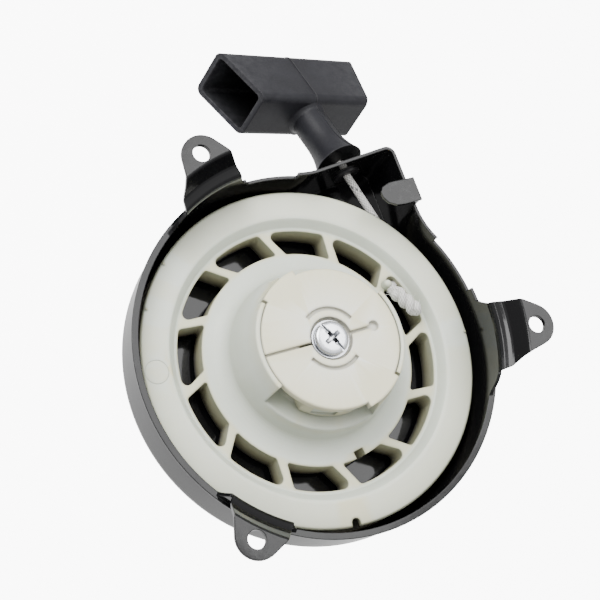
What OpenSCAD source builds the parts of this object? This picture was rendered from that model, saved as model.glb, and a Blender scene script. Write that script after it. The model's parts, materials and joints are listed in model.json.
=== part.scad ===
// Recoil starter for a small engine: a stamped cup carries a rope pulley on a centre post.
// Z = 0 is the mounting face of the three ears. +Z points out of the open side, to the engine.
// +X runs from the axis to one ear hole.

/* [Mounting ears] */
// Radius of the circle through the three ear holes
bolt_circle_r = 78.5; // [77.5:0.1:80]
// Radius of each ear hole
ear_hole_r = 3.2; // [2.6:0.1:3.6]
// Half width of an ear's plate at its fold
ear_half_w = 9.7; // [9:0.1:10.5]

/* [Housing] */
// Thickness of the steel sheet
sheet = 1.2; // [0.8:0.1:1.6]
// Outer radius of the cup
cup_r = 67.2; // [66:0.1:68]
// Distance from the mounting face down to the cup's rim
rim_drop = 16; // [14:0.5:18]
// Distance from the mounting face down to the outside of the back
back_drop = 43.5; // [43:0.5:46]
// Outer bend radius between the back and the wall
back_bend_r = 9; // [7:0.5:10]
// How far the rolled lip stands out from the cup
lip_out = 1.2; // [0.6:0.1:1.6]

/* [Rope] */
// Diameter of the braided rope
rope_d = 3; // [2.6:0.1:3]
// Distance from the mounting face down to the middle of the rope's outer turn
rope_drop = 30.5; // [30.4:0.1:31]
// Radius of the middle of the rope's outer turn
rope_turn_r = 56.1; // [55.8:0.1:56.6]

/* [Pulley] */
// Outer radius of the pulley's flanges
flange_r = 63.2; // [61:0.1:63.2]
// Distance from the mounting face down to the front flange
front_drop = 25; // [24.8:0.1:25.2]
// Number of windows in the web
window_count = 12; // [6:1:12]
// Outer radius of the windows
window_out_r = 49; // [47:0.5:49]
// Inner radius of the windows
window_in_r = 40; // [39:0.5:42]
// Radius of the hub's top edge
hub_top_r = 27.3; // [27.2:0.1:27.6]

/* [Retainer] */
// Radius of the retainer's round plate
retainer_r = 25.7; // [25:0.1:25.8]
// Radius of the two stop lobes on the retainer
lobe_r = 27.4; // [26.8:0.1:27.6]

/* [Handle] */
// Length of the grip along its outer side
grip_long = 69.5; // [62:0.5:76]
// Length of the grip along its rope side
grip_short = 55.5; // [50:0.5:60]
// Depth of the grip along the rope
grip_depth = 26; // [23:0.2:28]
// Width of the grip across the rope
grip_width = 20.4; // [18:0.2:22]
// Wall thickness of the grip
grip_wall = 2; // [1.6:0.1:2.6]
// Distance from the rope guide to the grip
stem_reach = 29.2; // [27:0.1:33]
// Turn of the pull line about +Z from +X
pull_azimuth = 106.3; // [104:0.1:110]
// Droop of the pull line towards the closed back
pull_droop = 19.6; // [14:0.2:22]
// Turn of the grip about the pull line
grip_roll = 21.8; // [0:0.2:45]

/* [Hidden] */
$fn = 96;

EAR_ANGLES = [0, 120, 240];
// Side of each ear whose leg spreads furthest: 1 towards +angle, -1 towards -angle, 0 neither
EAR_LONG_SIDE = [-1, 1, 0];
rim_z = -rim_drop;
back_z = -back_drop;
back_in_z = back_z + sheet;
front_z = -front_drop;
web_z = front_z - 3.6;
rope_z = -rope_drop;
rope_r = rope_d / 2;
eps = 0.01;
cut = 1;

function polar(r, a) = [r * cos(a), r * sin(a)];
function unit(v) = v / norm(v);
function arc(r, a0, a1, n) = [for (i = [0:n]) polar(r, a0 + (a1 - a0) * i / n)];
function turned(v, a) = [v[0] * cos(a) - v[1] * sin(a), v[0] * sin(a) + v[1] * cos(a)];

// Points of an arc of radius r that rounds the corner b between a and c
function rounded(a, b, c, r, n) =
    let (
        u = unit(a - b),
        v = unit(c - b),
        half = acos(u * v) / 2,
        centre = b + unit(u + v) * (r / sin(half)),
        first = b + u * (r / tan(half)) - centre,
        last = b + v * (r / tan(half)) - centre,
        a0 = atan2(first[1], first[0]),
        full = atan2(last[1], last[0]) - a0,
        sweep = full > 180 ? full - 360 : (full < -180 ? full + 360 : full)
    )
    [for (i = [0:n]) centre + polar(r, a0 + sweep * i / n)];

module rounded_rect(w, h, r) {
    square([w - 2 * r, h], center = true);
    square([w, h - 2 * r], center = true);
    for (x = [-1, 1], y = [-1, 1])
        translate([x * (w / 2 - r), y * (h / 2 - r)]) circle(r, $fn = 48);
}

// ---------------------------------------------------------------- housing

// Two straight walls of the rope outlet meet at a rounded corner outside the cup
outlet_corner = [39.2, 73.7];
outlet_corner_r = 3.6;
outlet_top_a = 107.5;
outlet_side_a = 12.5;
outlet_top_h = polar(1, outlet_top_a) * outlet_corner + outlet_corner_r;
outlet_side_h = polar(1, outlet_side_a) * outlet_corner + outlet_corner_r;
outlet_flare_r = 28;
flare_steps = 8;
flare_root = 0.12;
lip_h = 2.4;

// Middle of the concave flare between the cup and a wall whose normal is at the angle a
function flare_centre(a, h, side) =
    polar(h + outlet_flare_r, a)
    + polar(sqrt(pow(cup_r + outlet_flare_r, 2) - pow(h + outlet_flare_r, 2)), a + 90 * side);

// The flare's arc from the cup to the wall, on the outline that lies the distance d inside
function flare_arc(centre, a, d) =
    let (
        from = atan2(-centre[1], -centre[0]),
        sweep = (a + 180 - from + 540) % 360 - 180
    )
    concat(
        [unit(centre) * (cup_r - d - flare_root)],
        [for (i = [1:flare_steps]) centre + polar(outlet_flare_r + d, from + sweep * i / flare_steps)]
    );

function reversed(v) = [for (i = [len(v) - 1:-1:0]) v[i]];

module outlet_shape(d) {
    top = flare_centre(outlet_top_a, outlet_top_h, -1);
    side = flare_centre(outlet_side_a, outlet_side_h, 1);
    polygon(concat(
        [[20, 40]],
        flare_arc(top, outlet_top_a, d),
        [for (i = [0:12])
            outlet_corner + polar(outlet_corner_r - d, outlet_top_a + (outlet_side_a - outlet_top_a) * i / 12)],
        reversed(flare_arc(side, outlet_side_a, d))
    ));
}

// Cup profile: flat back, rounded bend, straight wall
module cup_profile(d) {
    bend = back_bend_r - d;
    translate([0, back_z + d]) square([cup_r - back_bend_r, rim_z - back_z - d]);
    translate([0, back_z + back_bend_r]) square([cup_r - d, rim_z - back_z - back_bend_r]);
    intersection() {
        translate([cup_r - back_bend_r, back_z + back_bend_r]) circle(bend);
        translate([0, back_z]) square([cup_r, back_bend_r]);
    }
}

module rolled_lip() {
    translate([0, 0, rim_z - lip_h])
        rotate_extrude($fn = 180)
            polygon([
                [cup_r - sheet, 0],
                [cup_r, 0],
                [cup_r + lip_out, lip_h * 0.7],
                [cup_r + lip_out, lip_h],
                [cup_r + lip_out - sheet, lip_h]
            ]);
}

ear_end_r = 8;
ear_end_c = bolt_circle_r - 1.2;
fold_r = 75;

// The ear's sheet stands this much proud of the cup wall on both sides
proud = 0.03;
leg_top_z = -9.4;
leg_low_z = rim_z - 3.4;
// Section of the sheet: flat plate, fold, slope, rounded shoulder and the leg down the cup wall
EAR_SECTION = [
    [90, 0], [fold_r, 0], [fold_r - 0.6, -0.15], [fold_r - 1.1, -0.7], [70.6, -5.3], [69.9, -5.9],
    [68.8, -6.4], [67.4, -6.9], [66.5, -7.7], [66.1, -8.5],
    [cup_r - sheet - proud, leg_top_z], [cup_r - sheet - proud, leg_low_z],
    [cup_r + proud, leg_low_z], [cup_r + proud, leg_top_z],
    [67.4, -8.9], [67.7, -8.4], [68.4, -8], [69.5, -7.5], [70.7, -6.8], [71.5, -6.1],
    [fold_r - 0.2, -1.8], [fold_r + 0.2, -1.4], [fold_r + 0.5, -sheet], [90, -sheet]
];
// Half widths of the shoulder from the leg up to the slope, on a short and on a long side
SPREAD_X = [64, 69, 72];
SPREAD_SHORT = [11.6, 11.2, 10.5];
SPREAD_LONG = [14.6, 13.4, 11.2];
// Heights down the leg, and its half widths there, on a short and on a long side
LEG_DROP = [leg_top_z, -11.1, -13.1, -14.7, -15.7, -17.3, leg_low_z - eps];
LEG_SHORT = [11.7, 12.4, 13.3, 14.1, 14.8, 16.1, 18];
LEG_LONG = [15.2, 17.6, 19, 20, 21, 22.8, 25];

// Plan of the ear: rounded end, tangent sides, a through hole, and a foot that widens to the leg
module ear_plan(long) {
    away = atan2(ear_half_w, fold_r - ear_end_c);
    gap = norm([fold_r - ear_end_c, ear_half_w]);
    touch = [ear_end_c, 0] + polar(ear_end_r, away - acos(ear_end_r / gap));
    difference() {
        union() {
            translate([ear_end_c, 0]) circle(ear_end_r);
            polygon(concat(
                [for (i = [0:2]) [SPREAD_X[i], long < 0 ? -SPREAD_LONG[i] : -SPREAD_SHORT[i]]],
                [[fold_r, -ear_half_w], [touch[0], -touch[1]], [ear_end_c, 0], touch, [fold_r, ear_half_w]],
                [for (i = [2:-1:0]) [SPREAD_X[i], long > 0 ? SPREAD_LONG[i] : SPREAD_SHORT[i]]]
            ));
        }
        translate([bolt_circle_r, 0]) circle(ear_hole_r);
    }
}

// Ear and the leg that carries it on the cup wall, cut from one curved sheet
module ear(long) {
    intersection() {
        rotate_extrude($fn = 180) polygon(EAR_SECTION);
        union() {
            translate([0, 0, leg_top_z - 0.1]) linear_extrude(12) ear_plan(long);
            rotate([90, 0, 90])
                linear_extrude(cup_r + 5)
                    polygon(concat(
                        [for (i = [0:6]) [long > 0 ? LEG_LONG[i] : LEG_SHORT[i], LEG_DROP[i]]],
                        [for (i = [6:-1:0]) [long < 0 ? -LEG_LONG[i] : -LEG_SHORT[i], LEG_DROP[i]]]
                    ));
        }
    }
}

// Raised ring pressed into the ear round its hole
module ear_emboss() {
    translate([bolt_circle_r, 0, -sheet - 0.6])
        difference() {
            cylinder(h = 0.6 + eps, r1 = ear_hole_r + 0.9, r2 = ear_hole_r + 1.5);
            translate([0, 0, -cut]) cylinder(h = 3, r = ear_hole_r);
        }
}

// Keeper tab that stands up from the outlet's wall and folds inwards
tab_z = rim_z + 5.6;
module keeper_tab() {
    wall = outlet_side_h;
    rotate(outlet_side_a) {
        translate([0, 0, tab_z - sheet])
            linear_extrude(sheet)
                polygon([
                    [wall, 42], [wall, 51.2], [wall - 10.4, 51.4], [wall - 13.6, 50.4], [wall - 15, 48.7],
                    [wall - 15, 46.5], [wall - 13.5, 44], [wall - 10.6, 42.3], [wall - 7.5, 41.9]
                ]);
        translate([wall - sheet - proud, 42.4, rim_z - 2])
            cube([sheet + 2 * proud, 8.4, tab_z - rim_z + 1.6]);
    }
}

guide_hole_r = 4;
guide_x = 27.2;
guide_y = (outlet_top_h - guide_x * cos(outlet_top_a)) / sin(outlet_top_a);
guide_pos = [guide_x, guide_y, rope_z];

// Places children at the rope guide with +Z out through the outlet wall
module at_guide() {
    translate(guide_pos) rotate([0, 90, outlet_top_a]) children();
}

module cup_shell() {
    difference() {
        union() {
            rotate_extrude($fn = 180) cup_profile(0);
            translate([0, 0, back_z + 0.8]) linear_extrude(rim_z - back_z - 0.8) outlet_shape(0);
            translate([0, 0, back_z]) linear_extrude(0.9) outlet_shape(0.7);
        }
        rotate_extrude($fn = 180) cup_profile(sheet);
        translate([0, 0, rim_z - cut]) cylinder(h = 2 * cut, r = cup_r - sheet, $fn = 180);
        translate([0, 0, back_in_z + 0.8]) linear_extrude(rim_z - back_in_z) outlet_shape(sheet);
        at_guide() translate([0, 0, -4]) cylinder(h = 8, r = guide_hole_r);
        translate([0, 0, back_z - cut]) cylinder(h = 4, r = post_rivet_r);
    }
}

// Lower stretches of rim on both sides of the outlet: angles and depth below the rim
RIM_DIPS = [[17.5, 37, 3], [88, 106, 3.2]];
module rim_relief() {
    for (dip = RIM_DIPS)
        translate([0, 0, rim_z])
            linear_extrude(4)
                polygon(concat([[0, 0]], arc(cup_r + 8, dip[0] - 2.5, dip[1] + 2.5, 16)));
    for (dip = RIM_DIPS)
        translate([0, 0, rim_z - dip[2]])
            linear_extrude(dip[2] + cut)
                polygon(concat([[0, 0]], arc(cup_r + 8, dip[0], dip[1], 12)));
}

// The lip is only rolled outwards away from the outlet
module lip_arc() {
    intersection() {
        rolled_lip();
        translate([0, 0, rim_z - lip_h - cut])
            linear_extrude(lip_h + 2 * cut) polygon(concat([[0, 0]], arc(cup_r + 8, 128, 352, 40)));
    }
}

module housing() {
    color([0.05, 0.05, 0.055]) {
        difference() {
            union() {
                cup_shell();
                lip_arc();
            }
            rim_relief();
        }
        for (i = [0:2])
            rotate(EAR_ANGLES[i]) {
                ear(EAR_LONG_SIDE[i]);
                ear_emboss();
            }
        keeper_tab();
    }
}

guide_bore_r = rope_r + 0.55;
guide_flange_r = 5.4;
module rope_guide() {
    color([0.04, 0.04, 0.045])
        at_guide()
            rotate_extrude($fn = 72)
                polygon([
                    [guide_bore_r + 0.5, -sheet - 1.1],
                    [guide_bore_r, -sheet - 0.5],
                    [guide_bore_r, 0.7],
                    [guide_bore_r + 0.5, 1.3],
                    [guide_flange_r - 0.4, 1.3],
                    [guide_flange_r, 0.9],
                    [guide_flange_r, 0.02],
                    [guide_hole_r - 0.05, 0.02],
                    [guide_hole_r - 0.05, -sheet - 0.02],
                    [guide_flange_r, -sheet - 0.02],
                    [guide_flange_r, -sheet - 0.8],
                    [guide_flange_r - 0.4, -sheet - 1.1]
                ]);
}

// ---------------------------------------------------------------- centre post and brake

post_r = 7;
post_rivet_r = 5;
shoulder_z = front_z + 9.5;
spigot_r = 4.5;
spigot_top_z = front_z + 18.1;
screw_r = 2.5;
module centre_post() {
    color([0.62, 0.63, 0.65])
        difference() {
            union() {
                translate([0, 0, back_in_z]) cylinder(h = 1.2, r = 11);
                translate([0, 0, back_in_z]) cylinder(h = shoulder_z - back_in_z, r = post_r);
                translate([0, 0, shoulder_z - eps]) cylinder(h = spigot_top_z - shoulder_z + eps, r = spigot_r);
                translate([0, 0, back_z]) cylinder(h = sheet + eps, r = post_rivet_r - 0.02);
                translate([0, 0, back_z - 0.9])
                    rotate_extrude()
                        polygon([[0, 0], [5.4, 0], [6.8, 0.5], [7.2, 0.9], [0, 0.9]]);
            }
            translate([0, 0, spigot_top_z - 14]) cylinder(h = 14 + cut, r = screw_r + 0.02);
        }
}

head_z = front_z + 19;
head_h = 2.5;
head_r = 6.2;
module centre_screw() {
    color([0.8, 0.82, 0.84])
        difference() {
            union() {
                translate([0, 0, spigot_top_z - 12]) cylinder(h = 12 + 1, r = screw_r);
                translate([0, 0, head_z])
                    rotate_extrude()
                        polygon(concat(
                            [[0, 0], [head_r, 0], [head_r, 0.8]],
                            [for (i = [0:8]) [head_r * cos(i * 9), 0.8 + (head_h - 0.8) * sin(i * 11.25)]],
                            [[0, head_h]]
                        ));
            }
            for (a = [40, 130])
                rotate(a)
                    translate([-2.9, -0.55, head_z + head_h - 1.6]) cube([5.8, 1.1, 3]);
        }
}

module screw_washer() {
    color([0.75, 0.77, 0.79])
        translate([0, 0, spigot_top_z + 0.02])
            difference() {
                cylinder(h = head_z - spigot_top_z - 0.04, r = 7);
                translate([0, 0, -cut]) cylinder(h = 4, r = screw_r + 0.15);
            }
}

brake_turns = 5;
brake_wire_r = 0.5;
brake_r = 5.6;
brake_low_z = shoulder_z + brake_wire_r + 0.05;
brake_high_z = front_z + 17.2 - brake_wire_r - 0.05;
// Round wire of radius w swept along the points p, which climb about the Z axis
module wire(p, w, sides) {
    n = len(p);
    rings = [for (i = [0:n - 1])
        let (
            t = unit(p[min(i + 1, n - 1)] - p[max(i - 1, 0)]),
            side = unit(cross([0, 0, 1], t)),
            up = cross(t, side)
        )
        for (k = [0:sides - 1]) p[i] + w * (side * cos(360 * k / sides) + up * sin(360 * k / sides))];
    skin = [for (i = [0:n - 2], k = [0:sides - 1])
        let (q = (k + 1) % sides)
        [i * sides + k, i * sides + q, (i + 1) * sides + q, (i + 1) * sides + k]];
    ends = [[for (k = [sides - 1:-1:0]) k], [for (k = [0:sides - 1]) (n - 1) * sides + k]];
    polyhedron(rings, concat(skin, ends), convexity = 6);
}

module brake_spring() {
    steps = 20 * brake_turns;
    color([0.7, 0.71, 0.73])
        wire(
            [for (i = [0:steps])
                let (t = i / steps)
                [brake_r * cos(360 * brake_turns * t), brake_r * sin(360 * brake_turns * t),
                 brake_low_z + (brake_high_z - brake_low_z) * t]],
            brake_wire_r, 8
        );
}

// ---------------------------------------------------------------- pulley

groove_front_z = front_z - 2.3;
groove_back_z = front_z - 12.4;
pulley_back_z = front_z - 14.6;
inner_turn_r = rope_turn_r - 0.873 * rope_d;
drum_r = inner_turn_r - rope_r - 0.02;
hub_floor_z = front_z + 9.3;
hub_rim_z = front_z + 20.2;
hub_ledge_z = front_z + 17;
spring_roof_z = front_z - 5;
spring_cup_r = 36;
pocket_r = 23.4;
crest_in_r = 26;
bore_r = post_r + 0.05;
sleeve_r = 10;
pawl_pin_r = 2;
pawl_pivot_r = 16.5;
pawl_pivot_a = 205;

module pulley_profile() {
    polygon(concat(
        [
            [bore_r, spring_roof_z + 0.4], [sleeve_r, spring_roof_z + 0.4],
            [sleeve_r, hub_floor_z - 2.3], [22.5, hub_floor_z - 2.3],
            [26.6, front_z + 2], [27.6, web_z - 1.9], [spring_cup_r, web_z - 1.9],
            [spring_cup_r, pulley_back_z], [drum_r - 0.8, pulley_back_z],
            [flange_r - 0.6, pulley_back_z + 0.2], [flange_r, pulley_back_z + 0.8],
            [flange_r, groove_back_z - 0.5], [flange_r - 0.4, groove_back_z - 0.1], [drum_r, groove_back_z],
            [drum_r, groove_front_z], [flange_r - 0.4, groove_front_z + 0.1],
            [flange_r, groove_front_z + 0.5], [flange_r, front_z - 0.6], [flange_r - 0.6, front_z],
            [54, front_z], [52.8, front_z - 0.25], [50.2, web_z + 0.25], [49.6, web_z], [39.4, web_z]
        ],
        // Concave sweep from the web up into the tapered hub wall
        [for (i = [1:7])
            let (t = i / 8)
            [39.4 - 8.3 * sin(90 * t), web_z + 5.4 * (1 - cos(90 * t))]],
        [
            [31, web_z + 5.6], [hub_top_r + 0.3, hub_rim_z - 0.3], [hub_top_r, hub_rim_z],
            [crest_in_r + 0.2, hub_rim_z], [crest_in_r, hub_rim_z - 0.2], [crest_in_r, hub_ledge_z],
            [pocket_r, hub_ledge_z], [pocket_r, hub_floor_z], [bore_r, hub_floor_z]
        ]
    ));
}

WINDOW_START = [8.9, 14.5];
WINDOW_END = [33.6, 41.2];
// Slanted window with rounded corners, between the inner and outer window radii
function window_outline() =
    let (
        a = polar(window_in_r, WINDOW_START[0]),
        b = polar(window_out_r, WINDOW_START[1]),
        c = polar(window_out_r, WINDOW_END[1]),
        d = polar(window_in_r, WINDOW_END[0]),
        outer = arc(window_out_r, WINDOW_START[1] + 2.4, WINDOW_END[1] - 4.4, 10),
        inner = arc(window_in_r, WINDOW_END[0] - 2, WINDOW_START[0] + 2.4, 10)
    )
    concat(
        rounded(inner[9], a, b, 0.8, 4),
        rounded(a, b, outer[1], 1.6, 5),
        outer,
        rounded(outer[9], c, d, 2.1, 7),
        rounded(c, d, inner[1], 1.2, 4),
        inner
    );

// Area above the hub floor that is open for a pawl
CUTOUT = [217.5, 302];
// Area where only the crest is missing, so that a stop lobe can pass
CREST_GAP = [217.5, 329];
module sector(r, a0, a1) {
    polygon(concat([[0, 0]], arc(r, a0, a1, 16)));
}

module hub_cuts() {
    for (h = [0, 180])
        rotate(h) {
            translate([0, 0, hub_floor_z - 0.9])
                linear_extrude(20) difference() {
                    sector(40, CUTOUT[0], CUTOUT[1]);
                    circle(pocket_r - 0.6);
                }
            translate([0, 0, hub_ledge_z])
                linear_extrude(20) sector(40, CREST_GAP[0], CREST_GAP[1]);
        }
}

rim_notch_a = 276.1;
inner_notch_a = 290.5;
rope_hole_a = 35.5;
cover_screw_a = 96.3;
cover_screw_r = 37.6;
// Ejector mark and moulding nibs on the front flange
ejector_a = 183;
NIB_ANGLES = [144.3, 161.4, 5.6];
module pulley() {
    color([0.84, 0.85, 0.81]) {
        difference() {
            rotate_extrude($fn = 180) pulley_profile();
            for (k = [0:window_count - 1])
                rotate(360 / window_count * k)
                    translate([0, 0, pulley_back_z - cut])
                        linear_extrude(40) polygon(window_outline());
            hub_cuts();
            rotate(rim_notch_a)
                translate([flange_r - 1.4, 0, groove_front_z - cut]) {
                    cylinder(h = 8, r = 1.7, $fn = 32);
                    translate([0, -1.7, 0]) cube([4, 3.4, 8]);
                }
            rotate(inner_notch_a)
                translate([window_in_r - 2.8, -2, pulley_back_z - cut]) cube([5, 4, 40]);
            rotate(ejector_a)
                translate([flange_r - 5, 0, front_z - 0.15])
                    difference() {
                        cylinder(h = 1, r = 4.4, $fn = 64);
                        translate([0, 0, -cut]) cylinder(h = 3, r = 4.15, $fn = 64);
                    }
            rotate(rope_hole_a)
                translate([window_out_r - 4, 0, rope_z - 2.2]) rotate([0, 90, 0])
                    cylinder(h = 8, r = rope_r + 0.25, $fn = 40);
            for (k = [0:2])
                rotate(120 * k + cover_screw_a)
                    translate([cover_screw_r, 0, pulley_back_z - cut]) cylinder(h = 6, r = 0.9, $fn = 24);
        }
        for (a = NIB_ANGLES)
            rotate(a) translate([flange_r - 1, 0, front_z - 0.5]) cylinder(h = 1.1, r1 = 0.6, r2 = 0.4, $fn = 24);
        // Stiffening ribs between the bearing sleeve and the hub wall
        for (k = [0:5])
            rotate(60 * k + 15)
                translate([sleeve_r - 0.3, -0.9, front_z]) cube([17.6, 1.8, hub_floor_z - 2.2 - front_z]);
        // Pivot pins of the two pawls
        for (h = [0, 180])
            rotate(pawl_pivot_a + h)
                translate([pawl_pivot_r, 0, hub_floor_z - 0.5]) cylinder(h = 7.3, r = pawl_pin_r, $fn = 48);
    }
}

spring_t = 0.5;
spring_turns = 6;
spring_low_z = pulley_back_z + 0.5;
spring_h = 8;
// Radius of the spiral strip after the angle a: even coils, then a lead in to the inner eye
function spiral_r(a) =
    let (full = 360 * spring_turns, coil_end = 35 - 2.2 * spring_turns)
    a < full ? 35 - 2.2 * a / 360 : coil_end - (coil_end - 8.6) * (1 - cos(180 * min(1, (a - full) / 330))) / 2;

module recoil_spring() {
    last = 360 * spring_turns + 600;
    color([0.33, 0.35, 0.38])
        translate([0, 0, spring_low_z])
            linear_extrude(spring_h)
                polygon(concat(
                    [for (a = [0:15:last]) polar(spiral_r(a) + spring_t / 2, a)],
                    [for (a = [last:-15:0]) polar(spiral_r(a) - spring_t / 2, a)]
                ));
}

cover_z = pulley_back_z - 0.82;
module spring_cover() {
    color([0.55, 0.57, 0.6])
        translate([0, 0, cover_z])
            difference() {
                union() {
                    cylinder(h = 0.8, r = spring_cup_r + 0.8);
                    for (k = [0:2])
                        rotate(120 * k + cover_screw_a) translate([cover_screw_r, 0, 0]) cylinder(h = 0.8, r = 2.2, $fn = 40);
                }
                translate([0, 0, -cut]) cylinder(h = 3, r = 12.5);
                for (k = [0:2])
                    rotate(120 * k + cover_screw_a)
                        translate([cover_screw_r, 0, -cut]) cylinder(h = 3, r = 0.95, $fn = 24);
                for (k = [0:5])
                    rotate(60 * k) translate([24, 0, -cut]) cylinder(h = 3, r = 3.4, $fn = 40);
            }
}

module cover_screws() {
    color([0.7, 0.72, 0.74])
        for (k = [0:2])
            rotate(120 * k + cover_screw_a)
                translate([cover_screw_r, 0, cover_z - 0.9]) {
                    cylinder(h = 0.88, r1 = 1.5, r2 = 1.9, $fn = 32);
                    cylinder(h = 5.4, r = 0.85, $fn = 24);
                }
}

row_pitch = rope_d + 0.05;
module rope_winding() {
    color([0.86, 0.85, 0.82])
        rotate_extrude($fn = 120) {
            for (i = [0:2])
                translate([inner_turn_r, rope_z + (0.5 - i) * row_pitch]) circle(rope_r, $fn = 32);
            translate([rope_turn_r + 0.02, rope_z]) circle(rope_r, $fn = 32);
        }
}

// Stopper knot of the rope's inner end, in the window beside the rope hole
KNOT_LUMPS = [[-0.6, 4.3, -0.8, 2.1], [0, 0.6, 0.2, 2.6], [1.6, -3.6, 0.6, 2.1]];
module rope_knot() {
    color([0.93, 0.92, 0.9])
        rotate(26.5)
            translate([44.2, 0, front_z - 1.6])
                for (lump = KNOT_LUMPS)
                    translate([lump[0], lump[1], lump[2]]) sphere(lump[3], $fn = 40);
}

// ---------------------------------------------------------------- retainer and pawls

plate_low_z = front_z + 17.2;
plate_top_z = front_z + 20.2;
recess_r = 7.9;
recess_floor_z = front_z + 18;
// A lobe ends just short of the hub's crest, which stops it
LOBE = [292.5, 326.6];
slot_a = 191.7;
key_a = 13;
module retainer() {
    color([0.9, 0.89, 0.84]) {
        difference() {
            union() {
                translate([0, 0, plate_low_z])
                    rotate_extrude($fn = 144)
                        polygon([
                            [0, 0], [retainer_r, 0], [retainer_r, 2.6],
                            [retainer_r - 0.4, plate_top_z - plate_low_z], [0, plate_top_z - plate_low_z]
                        ]);
                for (h = [0, 180])
                    rotate(h)
                        translate([0, 0, plate_low_z])
                            linear_extrude(plate_top_z - plate_low_z)
                                intersection() {
                                    circle(lobe_r, $fn = 144);
                                    sector(40, LOBE[0], LOBE[1]);
                                }
            }
            translate([0, 0, recess_floor_z]) cylinder(h = 6, r = recess_r);
            translate([0, 0, plate_low_z - cut]) cylinder(h = 6, r = spigot_r + 0.06);
            // Slot from the rim to the recess, cut through next to the recess
            rotate(slot_a) {
                translate([0, -0.5, plate_top_z - 1.3]) cube([30, 1, 3]);
                translate([0, -0.5, plate_low_z - cut]) cube([12.2, 1, 6]);
            }
            // Keyhole slot on the other side
            rotate(key_a) {
                translate([0, -0.6, plate_top_z - 1.6]) cube([17, 1.2, 3]);
                translate([17, 0, plate_top_z - 1.6]) cylinder(h = 3, r = 1.9, $fn = 40);
            }
            // Two arc slots that free the ring round the screw
            for (span = [[40, 136], [220, 322]])
                translate([0, 0, plate_top_z - 1.2])
                    linear_extrude(3)
                        difference() {
                            intersection() {
                                circle(11.6);
                                sector(20, span[0], span[1]);
                            }
                            circle(10.2);
                        }
        }
        // Cams that push the pawls out when the retainer lags behind the pulley
        for (h = [0, 180])
            rotate(h)
                translate([0, 0, hub_floor_z + 0.8])
                    linear_extrude(plate_low_z - hub_floor_z - 0.8 + eps)
                        intersection() {
                            difference() {
                                circle(14.2);
                                circle(9.4);
                            }
                            sector(30, 264, 290);
                        }
    }
}

pawl_low_z = hub_floor_z + 0.3;
pawl_h = 7.1;
pawl_boss_r = 4.4;
pawl_out_r = 25.2;
// Pawl outline: heel by the pivot, broad back along the hub's opening, square driving tip
function pawl_outline() =
    let (
        heel = polar(20.6, 214),
        shoulder_in = polar(21.4, 228),
        shoulder_out = polar(pawl_out_r, 241),
        tip_out = polar(pawl_out_r, 287),
        tip_in = polar(20.8, 289.5),
        belly = polar(17.2, 266),
        waist = polar(15.2, 240)
    )
    concat(
        [heel],
        rounded(heel, shoulder_in, shoulder_out, 2, 5),
        rounded(shoulder_in, shoulder_out, polar(pawl_out_r, 246), 1.2, 5),
        arc(pawl_out_r, 245, 283, 12),
        rounded(polar(pawl_out_r, 283), tip_out, tip_in, 0.8, 5),
        rounded(tip_out, tip_in, belly, 0.8, 5),
        rounded(tip_in, belly, waist, 5, 5),
        [waist, polar(12.6, 214), polar(pawl_pivot_r, pawl_pivot_a)]
    );

module pawl() {
    difference() {
        union() {
            translate([0, 0, pawl_low_z]) linear_extrude(pawl_h) polygon(pawl_outline());
            rotate(pawl_pivot_a)
                translate([pawl_pivot_r, 0, pawl_low_z]) cylinder(h = pawl_h, r = pawl_boss_r, $fn = 64);
        }
        rotate(pawl_pivot_a)
            translate([pawl_pivot_r, 0, pawl_low_z - cut]) cylinder(h = 20, r = pawl_pin_r + 0.05, $fn = 48);
        // Seat for the pawl's own spring
        rotate(pawl_pivot_a)
            translate([pawl_pivot_r, 0, pawl_low_z + pawl_h - 1.5]) cylinder(h = 3, r = 3.5, $fn = 48);
        // Channel moulded across the back of the pawl
        rotate(262)
            translate([pawl_out_r - 0.9, -5.4, pawl_low_z + 1.4]) cube([3, 9, 20]);
    }
}

module pawl_a() {
    color([0.87, 0.87, 0.82]) pawl();
}
module pawl_b() {
    color([0.87, 0.87, 0.82]) rotate(180) pawl();
}

module pawl_spring() {
    rotate(pawl_pivot_a)
        translate([pawl_pivot_r, 0, pawl_low_z + pawl_h - 1.1])
            rotate_extrude($fn = 48)
                for (i = [0, 1]) translate([2.9, 0.62 * i]) circle(0.28, $fn = 20);
}

module pawl_spring_a() {
    color([0.72, 0.73, 0.75]) pawl_spring();
}
module pawl_spring_b() {
    color([0.72, 0.73, 0.75]) rotate(180) pawl_spring();
}

// ---------------------------------------------------------------- rope and handle

exit_a = 115.6;
run_from = 23;
// Middle of the straight rope at the distance t past its tangent point
function run_point(t) =
    let (p = turned([rope_turn_r, t], exit_a - 90)) [p[0], p[1], rope_z];

// Places children at the rope guide with +X along the pull line
module along_pull() {
    translate(guide_pos) rotate([0, pull_droop, pull_azimuth]) children();
}

module rod(a, b, r) {
    d = b - a;
    translate(a)
        rotate([0, acos(d[2] / norm(d)), atan2(d[1], d[0])])
            cylinder(h = norm(d), r = r, $fn = 32);
}

module rope_run() {
    color([0.9, 0.89, 0.86]) {
        rod(run_point(run_from), guide_pos, rope_r);
        translate(guide_pos) sphere(rope_r + 0.04, $fn = 32);
        along_pull() rotate([0, 90, 0]) cylinder(h = 3, r = rope_r, $fn = 32);
    }
}

knot_x = stem_reach + grip_wall + 4.6;
module rope_tail() {
    color([0.9, 0.89, 0.86])
        along_pull()
            translate([3.2, 0, 0]) rotate([0, 90, 0]) cylinder(h = knot_x - 3.2, r = rope_r, $fn = 32);
}

module handle_knot() {
    color([0.92, 0.91, 0.88])
        along_pull()
            translate([knot_x, 0, 0]) {
                rotate([0, 90, 0])
                    rotate_extrude($fn = 48) translate([2.3, 0]) circle(1.6, $fn = 28);
                translate([1.2, 0, 0]) rotate([0, 90, 0]) cylinder(h = 5, r = rope_r, $fn = 32);
            }
}

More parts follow.
